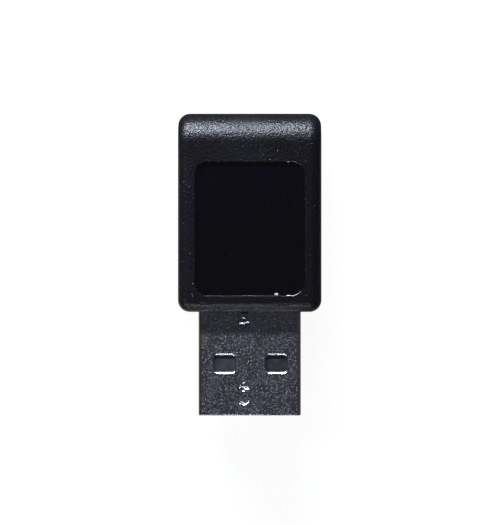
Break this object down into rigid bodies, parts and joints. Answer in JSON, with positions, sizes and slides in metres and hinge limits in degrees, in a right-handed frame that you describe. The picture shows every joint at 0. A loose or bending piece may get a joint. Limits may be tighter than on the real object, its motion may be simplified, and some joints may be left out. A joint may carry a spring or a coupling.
{
  "type": "usb radio stick",
  "caption": "Small black radio stick for home automation with a USB type A plug, a moulded two-part casing and a recessed polished field.",
  "frame": {"origin": "middle of the outline at the height of the casing's flat underside", "axes": "+Y from the plug towards the casing's closed end, +Z towards the side with the recessed field"},
  "size_m": [0.0168, 0.0354, 0.008],
  "materials": {
    "casing_plastic": "spark-eroded texture, polished in the recessed field",
    "shell_steel": "nickel plated, lightly grained",
    "insulator_plastic": "moulded, satin",
    "contact_gold": "gold plated",
    "board_laminate": "green solder mask",
    "chip_plastic": "moulded package",
    "can_metal": "plated lid",
    "component_ceramic": "fired ceramic",
    "antenna_wire": "tinned wire",
    "solder_tin": "tin solder"
  },
  "bodies": {
    "root": {"upper_casing": "casing_plastic", "lower_casing": "casing_plastic", "plug_shell": "shell_steel", "plug_insulator": "insulator_plastic", "contact_power": "contact_gold", "contact_data_minus": "contact_gold", "contact_data_plus": "contact_gold", "contact_ground": "contact_gold", "circuit_board": "board_laminate", "radio_chip": "chip_plastic", "memory_chip": "chip_plastic", "crystal_can": "can_metal", "saw_filter": "can_metal", "voltage_regulator": "chip_plastic", "surge_protector": "chip_plastic", "bulk_capacitor": "component_ceramic", "ferrite_bead": "component_ceramic", "capacitors": "component_ceramic", "resistors": "component_ceramic", "matching_coils": "component_ceramic", "antenna_spring": "antenna_wire", "solder_joints": "solder_tin"}
  },
  "joints": []
}
